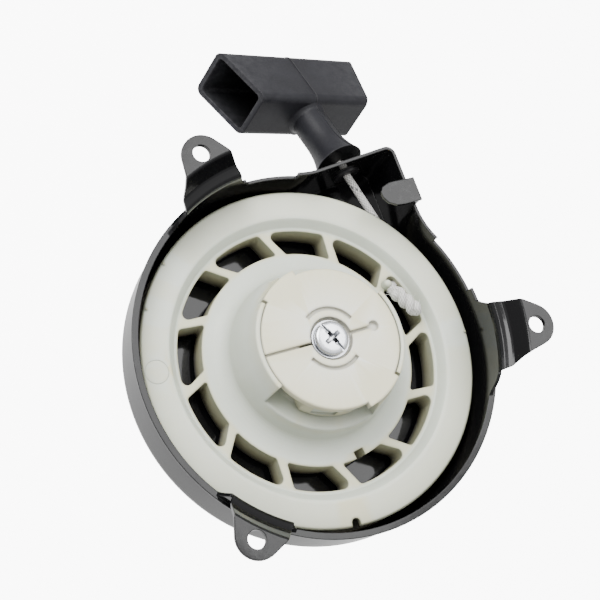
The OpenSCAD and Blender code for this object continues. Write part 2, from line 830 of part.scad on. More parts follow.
washer_x = stem_reach + grip_wall + 0.05;
module handle_washer() {
    color([0.75, 0.76, 0.78])
        along_pull()
            translate([washer_x, 0, 0])
                rotate([0, 90, 0])
                    difference() {
                        cylinder(h = 1.2, r = 5.6, $fn = 48);
                        translate([0, 0, -cut]) cylinder(h = 4, r = rope_r + 0.3, $fn = 40);
                    }
}

base_x = 4;
base_r = 9.7;
stem_r = 6.8;
flare_x = 18;
parting_h = 0.22;
parting_w = 0.6;
// Trumpet radius of the stem at the distance x from the rope guide
function stem_at(x) = x > flare_x ? stem_r : stem_r + (base_r - stem_r) * pow((flare_x - x) / (flare_x - base_x), 2.2);

module grip_slab(d, extra) {
    translate([stem_reach + grip_depth / 2, 0, 0])
        rotate([90, 0, 0])
            translate([0, 0, -grip_long / 2 - extra])
                linear_extrude(grip_long + 2 * extra)
                    rounded_rect(grip_depth - 2 * d, grip_width - 2 * d, d > 0 ? 1.6 : 3);
}

// Solid of the stem, made d larger all round
module grip_stem(d) {
    rotate([0, 90, 0])
        rotate_extrude($fn = 72)
            polygon(concat(
                [[0, base_x]],
                [for (i = [0:10])
                    let (x = base_x + (flare_x - base_x) * i / 10)
                    [stem_at(x) + d, x]],
                [
                    [stem_r + d, stem_reach - 1.8], [stem_r + d + 0.4, stem_reach - 0.9],
                    [stem_r + d + 1.4, stem_reach + 0.2], [0, stem_reach + 0.2]
                ]
            ));
}

// Moulding ridge round the bar and down the stem, in the middle plane
module parting_ridge() {
    translate([stem_reach + grip_depth / 2, parting_w / 2, 0])
        rotate([90, 0, 0])
            linear_extrude(parting_w)
                rounded_rect(grip_depth + 2 * parting_h, grip_width + 2 * parting_h, 3 + parting_h);
    intersection() {
        grip_stem(parting_h);
        translate([0, -parting_w / 2, -30]) cube([stem_reach, parting_w, 60]);
    }
}

module handle_grip() {
    color([0.17, 0.17, 0.185])
        along_pull()
            rotate([grip_roll, 0, 0])
                difference() {
                    union() {
                        intersection() {
                            grip_slab(0, 0);
                            translate([0, 0, -grip_width])
                                linear_extrude(2 * grip_width)
                                    polygon([
                                        [stem_reach, -grip_short / 2],
                                        [stem_reach + grip_depth, -grip_long / 2],
                                        [stem_reach + grip_depth, grip_long / 2],
                                        [stem_reach, grip_short / 2]
                                    ]);
                        }
                        grip_stem(0);
                        parting_ridge();
                    }
                    grip_slab(grip_wall, 5);
                    rotate([0, 90, 0]) cylinder(h = stem_reach + grip_wall + 1, r = rope_r + 0.6, $fn = 48);
                }
}

housing();
rope_guide();
centre_post();
centre_screw();
screw_washer();
brake_spring();
pulley();
recoil_spring();
spring_cover();
cover_screws();
rope_winding();
rope_knot();
retainer();
pawl_a();
pawl_b();
pawl_spring_a();
pawl_spring_b();
rope_run();
rope_tail();
handle_knot();
handle_washer();
handle_grip();
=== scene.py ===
# Recoil starter: finished surfaces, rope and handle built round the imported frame.
import json
import math
import random

import bmesh
import bpy
from mathutils import Matrix, Vector


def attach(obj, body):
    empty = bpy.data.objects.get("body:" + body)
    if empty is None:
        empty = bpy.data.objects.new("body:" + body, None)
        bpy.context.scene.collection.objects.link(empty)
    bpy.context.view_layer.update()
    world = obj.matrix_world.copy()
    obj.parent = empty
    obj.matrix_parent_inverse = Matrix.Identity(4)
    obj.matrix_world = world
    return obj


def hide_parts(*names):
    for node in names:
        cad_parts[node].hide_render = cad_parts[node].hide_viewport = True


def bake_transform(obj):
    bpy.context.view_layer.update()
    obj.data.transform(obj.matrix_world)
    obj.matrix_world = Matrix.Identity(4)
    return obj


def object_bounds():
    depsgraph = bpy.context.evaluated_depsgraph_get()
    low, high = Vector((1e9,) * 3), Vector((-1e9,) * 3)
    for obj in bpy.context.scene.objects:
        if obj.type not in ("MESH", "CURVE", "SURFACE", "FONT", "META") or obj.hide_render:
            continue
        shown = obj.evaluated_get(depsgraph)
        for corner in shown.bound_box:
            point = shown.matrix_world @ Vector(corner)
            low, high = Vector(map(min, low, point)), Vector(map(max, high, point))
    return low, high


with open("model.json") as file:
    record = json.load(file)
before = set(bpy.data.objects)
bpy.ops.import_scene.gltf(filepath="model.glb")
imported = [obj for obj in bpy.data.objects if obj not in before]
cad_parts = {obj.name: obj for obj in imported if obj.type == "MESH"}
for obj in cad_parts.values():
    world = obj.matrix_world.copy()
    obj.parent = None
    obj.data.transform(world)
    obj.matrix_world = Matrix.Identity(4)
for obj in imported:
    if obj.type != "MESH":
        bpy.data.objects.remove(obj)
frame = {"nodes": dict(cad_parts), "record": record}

CAD_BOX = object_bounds()
NODES = frame["nodes"]
MM = 0.001


def mm(x, y, z):
    """Point given in millimetres."""
    return Vector((x * MM, y * MM, z * MM))


# ---------------------------------------------------------------- camera, lights, floor

# The camera looks at the open side, tilted from the starter's axis, with the handle at the top
CAMERA_PLACE = mm(-208.7, -147.0, 488.75)
CAMERA_AIM = (0.358, 0.290, -0.887)
CAMERA_UP = (0.038, 0.945, 0.324)


def basis(forward, up):
    """Camera axes that look along forward, with up towards the top of the frame."""
    f = Vector(forward).normalized()
    r = f.cross(Vector(up)).normalized()
    u = r.cross(f)
    return Matrix((r, u, -f)).transposed()


def add_camera():
    data = bpy.data.cameras.new("camera")
    data.lens = 96.0
    data.sensor_width = 36.0
    data.clip_start = 0.01
    cam = bpy.data.objects.new("camera", data)
    bpy.context.collection.objects.link(cam)
    cam.matrix_world = Matrix.Translation(CAMERA_PLACE) @ basis(CAMERA_AIM, CAMERA_UP).to_4x4()
    bpy.context.scene.camera = cam


def area_light(name, place, size, power):
    """Square soft light that faces the starter."""
    data = bpy.data.lights.new(name, "AREA")
    data.size = size
    data.energy = power
    lamp = bpy.data.objects.new(name, data)
    bpy.context.collection.objects.link(lamp)
    lamp.location = place
    lamp.rotation_euler = (-Vector(place)).to_track_quat("-Z", "Y").to_euler()


add_camera()


# ---------------------------------------------------------------- node helpers

class Nodes:
    """Short-hand for building one material's node tree."""

    def __init__(self, name):
        self.mat = bpy.data.materials.new(name)
        self.mat.use_nodes = True
        self.tree = self.mat.node_tree
        self.shader = self.tree.nodes["Principled BSDF"]
        self.coord = self.add("ShaderNodeTexCoord").outputs["Object"]

    def add(self, kind, **props):
        n = self.tree.nodes.new(kind)
        for k, v in props.items():
            setattr(n, k, v)
        return n

    def link(self, a, b):
        self.tree.links.new(a, b)

    def put(self, socket, value):
        """Links an output or sets a plain value."""
        if hasattr(value, "links"):
            self.link(value, socket)
        else:
            socket.default_value = value

    def math(self, op, *args, clamp=False):
        n = self.add("ShaderNodeMath", operation=op, use_clamp=clamp)
        for s, v in zip(n.inputs, args):
            self.put(s, v)
        return n.outputs[0]

    def noise(self, scale, detail=3, rough=0.5, coord=None, distortion=0.0):
        n = self.add("ShaderNodeTexNoise")
        self.put(n.inputs["Vector"], coord or self.coord)
        n.inputs["Scale"].default_value = scale
        n.inputs["Detail"].default_value = detail
        n.inputs["Roughness"].default_value = rough
        n.inputs["Distortion"].default_value = distortion
        return n.outputs["Fac"]

    def ramp(self, fac, *stops):
        """Colour ramp through (position, colour) stops."""
        n = self.add("ShaderNodeValToRGB")
        self.put(n.inputs["Fac"], fac)
        el = n.color_ramp.elements
        while len(el) < len(stops):
            el.new(0.5)
        for e, (pos, col) in zip(el, stops):
            e.position = pos
            e.color = (*col, 1)
        return n.outputs["Color"]

    def span(self, fac, lo, hi, out_lo, out_hi):
        """Maps lo..hi to out_lo..out_hi and clamps."""
        n = self.add("ShaderNodeMapRange")
        self.put(n.inputs["Value"], fac)
        for k, v in zip(("From Min", "From Max", "To Min", "To Max"), (lo, hi, out_lo, out_hi)):
            n.inputs[k].default_value = v
        return n.outputs["Result"]

    def mix(self, fac, a, b):
        """Colour a where fac is 0 and b where it is 1. The node's colour sockets are numbers 6, 7 and 2."""
        n = self.add("ShaderNodeMix", data_type="RGBA")
        self.put(n.inputs["Factor"], fac)
        self.put(n.inputs[6], a if hasattr(a, "links") else (*a, 1))
        self.put(n.inputs[7], b if hasattr(b, "links") else (*b, 1))
        return n.outputs[2]

    def bump(self, height, strength, distance, normal=None):
        n = self.add("ShaderNodeBump")
        n.inputs["Strength"].default_value = strength
        n.inputs["Distance"].default_value = distance
        self.put(n.inputs["Height"], height)
        if normal is not None:
            self.link(normal, n.inputs["Normal"])
        return n.outputs["Normal"]

    def edge_wear(self, lo, hi):
        """1 on sharp outer edges, 0 on flat and hollow faces."""
        g = self.add("ShaderNodeNewGeometry")
        return self.span(g.outputs["Pointiness"], lo, hi, 0.0, 1.0)

    def height(self):
        """Height of the point in the starter's frame."""
        n = self.add("ShaderNodeSeparateXYZ")
        self.put(n.inputs[0], self.coord)
        return n.outputs["Z"]


def soften(n, radius):
    """Rounds sharp edges in the shading, as the real part's small radii do."""
    b = n.add("ShaderNodeBevel", samples=6)
    b.inputs["Radius"].default_value = radius
    return b.outputs["Normal"]


def crevice(n, distance, lo=0.25, hi=0.85):
    """Mask for painted shade from ambient occlusion: 1 deep in corners and holes, 0 on open faces."""
    ao = n.add("ShaderNodeAmbientOcclusion", samples=6)
    ao.inputs["Distance"].default_value = distance
    return n.span(ao.outputs["AO"], lo, hi, 1, 0)


def paint_black():
    """Glossy stoved paint on pressed sheet: faint orange peel, a little dust, worn fold edges."""
    n = Nodes("paint_black")
    peel = n.noise(330, 2, 0.4)
    dent = n.noise(45, 2, 0.5)
    dust = n.span(n.noise(900, 6, 0.8), 0.70, 0.82, 0, 0.12)
    smear = n.span(n.noise(70, 5, 0.7, distortion=0.8), 0.35, 0.75, 0.06, 0.14)
    worn = n.math("MULTIPLY", n.edge_wear(0.56, 0.72), n.span(n.noise(420, 4, 0.7), 0.5, 0.72, 0, 0.25))
    col = n.mix(dust, (0.0045, 0.0045, 0.005), (0.10, 0.10, 0.10))
    col = n.mix(worn, col, (0.12, 0.12, 0.125))
    n.link(col, n.shader.inputs["Base Color"])
    n.link(n.math("ADD", smear, n.math("MULTIPLY", dust, 0.4)), n.shader.inputs["Roughness"])
    n.shader.inputs["Specular IOR Level"].default_value = 0.32
    h = n.math("ADD", n.math("MULTIPLY", peel, 0.25), dent)
    n.link(n.bump(h, 0.10, 0.0004, soften(n, 0.00045)), n.shader.inputs["Normal"])
    return n.mat


def plastic_black():
    """Plain black plastic of the rope guide."""
    n = Nodes("plastic_black")
    grain = n.noise(2600, 3, 0.6)
    n.link(n.ramp(n.noise(300, 4, 0.6), (0.3, (0.010, 0.010, 0.011)), (0.8, (0.022, 0.022, 0.024))),
           n.shader.inputs["Base Color"])
    n.link(n.span(grain, 0.3, 0.7, 0.3, 0.44), n.shader.inputs["Roughness"])
    n.link(n.bump(grain, 0.15, 0.00006, soften(n, 0.0002)), n.shader.inputs["Normal"])
    return n.mat


NYLON_CREST = (0.74, 0.70, 0.46)
NYLON_GRIME = (0.34, 0.32, 0.27)


def nylon(name, light, shade, valley_shade, deep_shade, deepest_shade, low_z, high_z):
    """Moulded nylon: milky and a little cloudy, yellower at thin edges, with brown and olive painted shade
    in corners and deep walls.
    Painted shade darkens it further down, between the heights high_z and low_z."""
    n = Nodes(name)
    cloud = n.noise(60, 4, 0.6)
    flow = n.noise(220, 3, 0.55, distortion=1.2)
    grain = n.noise(3200, 2, 0.6)
    base = n.ramp(cloud, (0.25, shade), (0.75, light))
    base = n.mix(n.math("MULTIPLY", n.edge_wear(0.515, 0.58), 0.8), base, NYLON_CREST)
    # Painted shade: tight corners tinted brown, from ambient occlusion.
    base = n.mix(n.math("MULTIPLY", crevice(n, 0.005, 0.3, 0.9), 0.55), base, deep_shade)
    # Painted shade: wide hollows, such as the web beside the hub, tinted olive-grey.
    base = n.mix(n.math("MULTIPLY", crevice(n, 0.026, 0.45, 0.97), 0.75), base, valley_shade)
    # Painted shade: darker further down inside the drum, by height.
    sunk_shade = n.ramp(n.span(n.height(), low_z, high_z, 0, 1), (0.1, deepest_shade), (0.8, deep_shade))
    base = n.mix(n.span(n.height(), low_z, high_z, 1, 0), base, sunk_shade)
    grime = n.span(n.noise(900, 5, 0.8), 0.68, 0.8, 0, 0.16)
    base = n.mix(grime, base, NYLON_GRIME)
    n.link(base, n.shader.inputs["Base Color"])
    n.link(n.span(flow, 0.3, 0.7, 0.36, 0.5), n.shader.inputs["Roughness"])
    n.shader.inputs["Subsurface Weight"].default_value = 0.15
    n.shader.inputs["Subsurface Radius"].default_value = (1.0, 0.8, 0.5)
    n.shader.inputs["Subsurface Scale"].default_value = 0.0012
    n.shader.inputs["IOR"].default_value = 1.5
    h = n.math("ADD", n.math("MULTIPLY", grain, 0.35), n.math("MULTIPLY", flow, 0.65))
    n.link(n.bump(h, 0.10, 0.0002, soften(n, 0.0014)), n.shader.inputs["Normal"])
    return n.mat


def metal(name, light, shade, rough, scratch=1.0):
    """Bare or plated steel with fine marks, duller patches and painted shade in its corners."""
    n = Nodes(name)
    patch = n.noise(240, 4, 0.65)
    hair = n.add("ShaderNodeTexNoise")
    stretch = n.add("ShaderNodeMapping")
    stretch.inputs["Scale"].default_value = (400, 6000, 2500)
    n.link(n.coord, stretch.inputs["Vector"])
    n.link(stretch.outputs[0], hair.inputs["Vector"])
    hair.inputs["Scale"].default_value = 1.0
    col = n.ramp(patch, (0.3, shade), (0.75, light))
    # Painted shade: near black in corners and recesses, such as the screw's cross recess.
    col = n.mix(crevice(n, 0.0018, 0.2, 0.8), col, (0.03, 0.03, 0.032))
    n.link(col, n.shader.inputs["Base Color"])
    n.shader.inputs["Metallic"].default_value = 1.0
    n.link(n.span(patch, 0.3, 0.7, rough * 0.75, rough * 1.4), n.shader.inputs["Roughness"])
    n.link(n.bump(hair.outputs["Fac"], 0.12 * scratch, 0.00005, soften(n, 0.00018)),
           n.shader.inputs["Normal"])
    return n.mat


def handle_plastic():
    """Dark grey moulded plastic with a fine matt grain, rubbed edges and painted shade in its hollow."""
    n = Nodes("handle_plastic")
    grain = n.noise(1500, 4, 0.65)
    blotch = n.noise(110, 5, 0.65)
    scuff = n.noise(500, 6, 0.8, distortion=1.5)
    wear = n.math("MULTIPLY", n.edge_wear(0.53, 0.66), n.span(n.noise(420, 4, 0.7), 0.35, 0.65, 0, 1))
    col = n.ramp(blotch, (0.3, (0.014, 0.014, 0.017)), (0.75, (0.022, 0.022, 0.026)))
    col = n.mix(n.span(scuff, 0.62, 0.78, 0, 0.15), col, (0.13, 0.13, 0.14))
    col = n.mix(n.math("MULTIPLY", wear, 0.35), col, (0.16, 0.16, 0.17))
    # Painted shade: near black inside the handle's hollow and other deep places.
    hollow_shade = crevice(n, 0.03, 0.25, 0.75)
    col = n.mix(n.math("MULTIPLY", hollow_shade, 0.9), col, (0.001, 0.001, 0.001))
    n.link(col, n.shader.inputs["Base Color"])
    n.shader.inputs["Specular IOR Level"].default_value = 0.22
    n.link(n.span(grain, 0.3, 0.7, 0.36, 0.5), n.shader.inputs["Roughness"])
    n.link(n.bump(grain, 0.22, 0.00012, soften(n, 0.0006)), n.shader.inputs["Normal"])
    return n.mat


# ---------------------------------------------------------------- rope material

STRANDS = 8
BRAID_PITCH = 12 * MM
PULL_TURN = math.radians(106.3)
PULL_DROOP = math.radians(19.6)
GUIDE = mm(27.2, 73.69, -30.5)
PULL = (Matrix.Translation(GUIDE) @ Matrix.Rotation(PULL_TURN, 4, "Z")
        @ Matrix.Rotation(PULL_DROOP, 4, "Y"))


def rope_material(name, straight=False, tracer_dark=0.85, groove_shade=0.95):
    """White braid with one dark tracer each way. A straight rope reads its place from the pull line,
    so that its weave keeps its size while the rope is drawn out."""
    n = Nodes(name)
    if straight:
        def along(axis):
            d = n.add("ShaderNodeVectorMath", operation="SUBTRACT")
            n.link(n.coord, d.inputs[0])
            d.inputs[1].default_value = GUIDE
            dot = n.add("ShaderNodeVectorMath", operation="DOT_PRODUCT")
            n.link(d.outputs[0], dot.inputs[0])
            dot.inputs[1].default_value = (PULL.to_3x3() @ Vector(axis))
            return dot.outputs["Value"]
        u = n.math("DIVIDE", n.math("ARCTAN2", along((0, 0, 1)), along((0, 1, 0))), 2 * math.pi)
        v = n.math("DIVIDE", along((1, 0, 0)), BRAID_PITCH)
    else:
        uv = n.add("ShaderNodeUVMap", uv_map="braid")
        split = n.add("ShaderNodeSeparateXYZ")
        n.link(uv.outputs["UV"], split.inputs[0])
        u, v = split.outputs["X"], split.outputs["Y"]
    a = n.math("MULTIPLY", n.math("ADD", u, v), STRANDS)
    b = n.math("MULTIPLY", n.math("SUBTRACT", u, v), STRANDS)
    fa, fb = n.math("FLOOR", a), n.math("FLOOR", b)
    over = n.math("LESS_THAN", n.math("FLOORED_MODULO", n.math("ADD", fa, fb), 2.0), 0.5)
    under = n.math("SUBTRACT", 1.0, over)

    def pick(x, y):
        return n.math("ADD", n.math("MULTIPLY", x, over), n.math("MULTIPLY", y, under))
    across = pick(n.math("FRACT", a), n.math("FRACT", b))
    length = pick(b, a)
    which = n.math("FLOORED_MODULO", pick(fa, fb), float(STRANDS))
    hill = n.math("SINE", n.math("MULTIPLY", across, math.pi))
    tracer = n.math("LESS_THAN", n.math("ABSOLUTE", n.math("SUBTRACT", which, 2.0)), 0.5)
    tracer = n.math("MULTIPLY", tracer, over)
    yarn = n.add("ShaderNodeCombineXYZ")
    n.link(n.math("MULTIPLY", across, 7.0), yarn.inputs["X"])
    n.link(n.math("MULTIPLY", length, 0.8), yarn.inputs["Y"])
    n.link(which, yarn.inputs["Z"])
    hair = n.noise(2.2, 3, 0.6, coord=yarn.outputs[0])
    soil = n.noise(420, 5, 0.75)
    col = n.ramp(hair, (0.3, (0.62, 0.61, 0.58)), (0.7, (0.84, 0.83, 0.80)))
    col = n.mix(n.math("MULTIPLY", tracer, tracer_dark), col, (0.045, 0.045, 0.05))
    # Painted shade: the grooves between strands darkened towards near black.
    col = n.mix(n.span(hill, 0.0, 0.8, groove_shade, 0.0), col, (0.05, 0.048, 0.045))
    col = n.mix(n.span(soil, 0.56, 0.74, 0, 0.55), col, (0.20, 0.19, 0.18))
    n.link(col, n.shader.inputs["Base Color"])
    n.shader.inputs["Roughness"].default_value = 0.62
    n.shader.inputs["Sheen Weight"].default_value = 0.25
    height = n.math("ADD", n.math("MULTIPLY", hill, 0.8), n.math("MULTIPLY", hair, 0.35))
    n.link(n.bump(height, 0.7, 0.00016), n.shader.inputs["Normal"])
    return n.mat


def fibre_material():
    """Single white yarn."""
    n = Nodes("rope_fibre")
    n.link(n.ramp(n.noise(900, 3, 0.6), (0.3, (0.6, 0.59, 0.56)), (0.7, (0.86, 0.85, 0.82))),
           n.shader.inputs["Base Color"])
    n.shader.inputs["Roughness"].default_value = 0.55
    return n.mat


MAT = {
    "black_paint": paint_black(),
    "black_plastic": plastic_black(),
    "steel": metal("steel_bare", (0.62, 0.63, 0.66), (0.42, 0.43, 0.46), 0.28),
    "spring_steel": metal("steel_spring", (0.34, 0.37, 0.43), (0.2, 0.21, 0.25), 0.3),
    "zinc": metal("zinc_plate", (0.86, 0.88, 0.92), (0.66, 0.68, 0.72), 0.24, 0.7),
    "nylon": nylon("nylon_pulley", light=(0.77, 0.81, 0.735), shade=(0.705, 0.745, 0.66),
                   valley_shade=(0.31, 0.335, 0.25), deep_shade=(0.42, 0.37, 0.24), deepest_shade=(0.04, 0.034, 0.018),
                   low_z=-0.0396, high_z=-0.0290),
    "retainer_nylon": nylon("nylon_retainer", light=(0.92, 0.92, 0.84), shade=(0.87, 0.87, 0.78),
                            valley_shade=(0.5, 0.49, 0.42), deep_shade=(0.50, 0.46, 0.33), deepest_shade=(0.2, 0.18, 0.12),
                            low_z=-0.02, high_z=-0.0085),
    "handle_plastic": handle_plastic(),
    "rope": rope_material("rope_braid"),
}
ROPE_STRAIGHT = rope_material("rope_braid_straight", straight=True)
# Fainter tracer and lighter painted shade in the grooves, for the stopper knot.
ROPE_FAINT_SHADE = rope_material("rope_braid_faint_shade", tracer_dark=0.12, groove_shade=0.55)
FIBRE = fibre_material()


# ---------------------------------------------------------------- rope shapes

def smooth_path(points, spacing):
    """Evenly spaced points of a curve through the given ones (Catmull-Rom)."""
    pts = [points[0] * 2 - points[1], *points, points[-1] * 2 - points[-2]]
    dense = []
    for i in range(1, len(pts) - 2):
        p0, p1, p2, p3 = pts[i - 1:i + 3]
        for k in range(24):
            t = k / 24
            dense.append(0.5 * (2 * p1 + (p2 - p0) * t + (2 * p0 - 5 * p1 + 4 * p2 - p3) * t * t
                                + (3 * p1 - p0 - 3 * p2 + p3) * t ** 3))
    dense.append(points[-1].copy())
    return even(dense, spacing)


def even(dense, spacing):
    """The same polyline with its points set out at equal distances."""
    total = sum((b - a).length for a, b in zip(dense, dense[1:]))
    count = max(2, round(total / spacing))
    step, want, walked, out = total / count, 0.0, 0.0, []
    for a, b in zip(dense, dense[1:]):
        d = (b - a).length
        while len(out) < count and want <= walked + d:
            out.append(a.lerp(b, (want - walked) / d if d else 0))
            want += step
        walked += d
    out.append(dense[-1].copy())
    return out


def braid_height(u, v):
    """Height of the weave, 0 in a groove and 1 on a strand."""
    a, b = (u + v) * STRANDS, (u - v) * STRANDS
    top = (math.floor(a) + math.floor(b)) % 2 == 0
    across, length = (a % 1, b % 1) if top else (b % 1, a % 1)
    return math.sin(math.pi * across) ** 0.7 * (0.72 + 0.28 * math.sin(math.pi * length))


def tube(name, path, radius, around, mat, lift=0.0, closed=False, taper=None):
    """Round rope along a path, its surface raised strand by strand where lift is given."""
    bm = bmesh.new()
    uv = bm.loops.layers.uv.new("braid")
    count = len(path)
    side = None
    rings, reach = [], [0.0]
    for i, p in enumerate(path):
        nxt = path[(i + 1) % count] if closed else path[min(i + 1, count - 1)]
        prv = path[i - 1] if closed else path[max(i - 1, 0)]
        tangent = (nxt - prv).normalized()
        if side is None:
            side = tangent.orthogonal()
        side = (side - tangent * side.dot(tangent)).normalized()
        up = tangent.cross(side)
        if i:
            reach.append(reach[-1] + (p - path[i - 1]).length)
        r0 = radius * (taper(i / (count - 1)) if taper else 1)
        ring = []
        for k in range(around):
            phi = 2 * math.pi * k / around
            r = r0
            if lift:
                r *= 1 - lift + lift * braid_height(k / around, reach[-1] / BRAID_PITCH)
            ring.append(bm.verts.new(p + (side * math.cos(phi) + up * math.sin(phi)) * r))
        rings.append(ring)
    last = (path[0] - path[-1]).length + reach[-1]
    spans = count if closed else count - 1
    for i in range(spans):
        j = (i + 1) % count
        v0 = reach[i] / BRAID_PITCH
        v1 = (last if j == 0 else reach[j]) / BRAID_PITCH
        for k in range(around):
            q = (k + 1) % around
            face = bm.faces.new((rings[i][k], rings[i][q], rings[j][q], rings[j][k]))
            face.smooth = True
            u0, u1 = k / around, (k + 1) / around
            for loop, place in zip(face.loops, ((u0, v0), (u1, v0), (u1, v1), (u0, v1))):
                loop[uv].uv = place
    if not closed:
        bm.faces.new(list(reversed(rings[0])))
        bm.faces.new(rings[-1])
    bmesh.ops.recalc_face_normals(bm, faces=bm.faces)
    me = bpy.data.meshes.new(name)
    bm.to_mesh(me)
    bm.free()
    me.materials.append(mat)
    ob = bpy.data.objects.new(name, me)
    bpy.context.collection.objects.link(ob)
    return ob


def join(name, parts):
    """One piece from several meshes."""
    bm = bmesh.new()
    mats = []
    for part in parts:
        for m in part.data.materials:
            if m not in mats:
                mats.append(m)
        at = mats.index(part.data.materials[0])
        before = len(bm.faces)
        bm.from_mesh(part.data)
        bm.faces.ensure_lookup_table()
        for f in bm.faces[before:]:
            f.material_index = at
        old = part.data
        bpy.data.objects.remove(part)
        bpy.data.meshes.remove(old)
    me = bpy.data.meshes.new(name)
    bm.to_mesh(me)
    bm.free()
    for m in mats:
        me.materials.append(m)
    ob = bpy.data.objects.new(name, me)
    bpy.context.collection.objects.link(ob)
    return ob


def fibres(tip, heading, spread, count, lengths, rng):
    """Loose ends of the braid's yarn, fanning out of a cut rope end."""
    out = []
    across = heading.orthogonal().normalized()
    over = heading.cross(across)
    for _ in range(count):
        turn = rng.uniform(0, 2 * math.pi)
        away = across * math.cos(turn) + over * math.sin(turn)
        start = tip + away * rng.uniform(0.2, 1.15) * MM - heading * 0.5 * MM
        long = rng.uniform(*lengths) * MM
        lean = rng.uniform(0.1, spread)
        bend = across * rng.uniform(-1, 1) + over * rng.uniform(-1, 1)
        pts = [start + (heading * t + away * lean * t * t + bend * 0.25 * t * t) * long
               for t in (0, 0.35, 0.7, 1)]
        out.append(tube("fibre", smooth_path(pts, 0.4 * MM), 0.075 * MM, 6, FIBRE,
                        taper=lambda t: 1 - 0.5 * t))
    return out


ROPE_R = 1.5 * MM
TURN_R = 56.1  # radius of the outer turn, mm
INNER_R = 53.48  # radius of the rows under it, mm
ROPE_Z = -30.5  # height of the outer turn, mm
ROW = 3.05  # pitch of the rows, mm
EXIT = math.radians(25.6)  # where the rope leaves the winding
LIFT = 0.14  # share of the radius that the weave's grooves are cut in
KNOT_X = 35.8  # the handle's knot along the pull line, mm


def ring_path(radius, z, spacing):
    """Points of a circle round the starter's axis."""
    count = round(2 * math.pi * radius / spacing)
    turns = [2 * math.pi * i / count for i in range(count)]
    return [mm(radius * math.cos(turn), radius * math.sin(turn), z) for turn in turns]


def on_pull(x, y=0.0, z=0.0):
    """Point x mm from the guide along the pull line, and y and z mm beside it."""
    return PULL @ mm(x, y, z)


def wound_rope():
    """Outer turn and three rows under it on the drum."""
    outer = ring_path(TURN_R + 0.02, ROPE_Z, 0.3)
    turns = [tube("turn", outer, ROPE_R, 40, MAT["rope"], LIFT, closed=True)]
    for i in range(3):
        turns.append(tube("turn", ring_path(INNER_R, ROPE_Z + (0.5 - i) * ROW, 0.6), ROPE_R, 24,
                          MAT["rope"], LIFT, closed=True))
    ob = join("rope_winding_braid", turns)
    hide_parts("rope_winding")
    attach(ob, "pulley")


def straight_rope():
    """From the tangent point on the winding, through the guide."""
    radial = Vector((math.cos(EXIT), math.sin(EXIT), 0))
    tangent = Vector((-math.sin(EXIT), math.cos(EXIT), 0))
    base = radial * TURN_R * MM + Vector((0, 0, ROPE_Z * MM))
    reach = (GUIDE - base).dot(tangent) / MM
    points = [base + tangent * t * MM for t in (4, 14, 26, 38, reach - 6, reach - 2.2)]
    points += [on_pull(2.4), on_pull(4.2)]
    ob = tube("rope_run_braid", smooth_path(points, 0.19 * MM), ROPE_R, 56, MAT["rope"], LIFT)
    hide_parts("rope_run")
    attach(ob, "frame")


def rope_tail():
    """Between the guide and the knot in the handle."""
    steps = 120
    path = [on_pull(3.4 + (KNOT_X - 3.4) * i / steps) for i in range(steps + 1)]
    ob = tube("rope_tail_braid", path, ROPE_R * 0.99, 48, ROPE_STRAIGHT)
    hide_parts("rope_tail")
    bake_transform(ob)


def coil(start, end, turns, wrap, phase, steps=14):
    """Points of a rope wrapped round the line from start to end."""
    axis = (end - start).normalized()
    a = axis.orthogonal().normalized()
    b = axis.cross(a)
    count = max(2, round(abs(turns) * steps))
    out = []
    for i in range(count + 1):
        turn = phase + 2 * math.pi * turns * i / count
        out.append(start.lerp(end, i / count) + (a * math.cos(turn) + b * math.sin(turn)) * wrap * MM)
    return out


def stopper_knot():
    """The rope leaves the drum into a window, is doubled back, twisted on itself and cut."""
    head, foot = mm(36.7, 22.1, -24.2), mm(43.0, 15.1, -23.9)
    axis = (foot - head).normalized()
    turns, wrap, phase = 1.25, 1.4, 2.2
    lead = [mm(41.1, 29.3, -32.7), mm(39.0, 27.0, -31.4), mm(36.6, 25.0, -28.2)]
    out = coil(head, foot, turns, wrap, phase)
    back = coil(head, foot, turns, wrap, phase + math.pi)[::-1]
    points = lead + out + [foot + axis * 1.1 * MM] + back + [back[-1] - axis * 1.2 * MM]
    rng = random.Random(7)
    rope = tube("rope", smooth_path(points, 0.22 * MM), 1.55 * MM, 48, ROPE_FAINT_SHADE, LIFT)
    ends = fibres(points[-1], (points[-1] - points[-2]).normalized(), 0.9, 22, (0.8, 2.2), rng)
    for lump in (0.25, 0.6, 0.95):
        spot = head.lerp(foot, lump) + mm(0.6, 0.9, 2.0)
        ends += fibres(spot, mm(rng.uniform(-1, 1), rng.uniform(-1, 1), 0.7).normalized(), 1.2, 7,
                       (0.6, 1.6), rng)
    ob = join("rope_knot_braid", [rope, *ends])
    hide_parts("rope_knot")
    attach(ob, "pulley")


def grip_knot():
    """Knot that bears on the washer inside the handle."""
    wraps = coil(on_pull(KNOT_X - 1.6), on_pull(KNOT_X + 2.6), 1.9, 2.1, 0.6)
    points = [on_pull(KNOT_X - 3.2), on_pull(KNOT_X - 2.2, 0.6)] + wraps[1:]
    points += [on_pull(KNOT_X + 4.2, 0.4, 0.6), on_pull(KNOT_X + 7.0, 0.2, -0.4)]
    rng = random.Random(11)
    rope = tube("rope", smooth_path(points, 0.24 * MM), ROPE_R * 0.96, 44, MAT["rope"], LIFT)
    ends = fibres(points[-1], (points[-1] - points[-2]).normalized(), 0.7, 18, (1.0, 2.8), rng)
    ob = join("handle_knot_braid", [rope, *ends])
    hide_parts("handle_knot")
    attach(ob, "rope_end")


# ---------------------------------------------------------------- screw and moulded peg

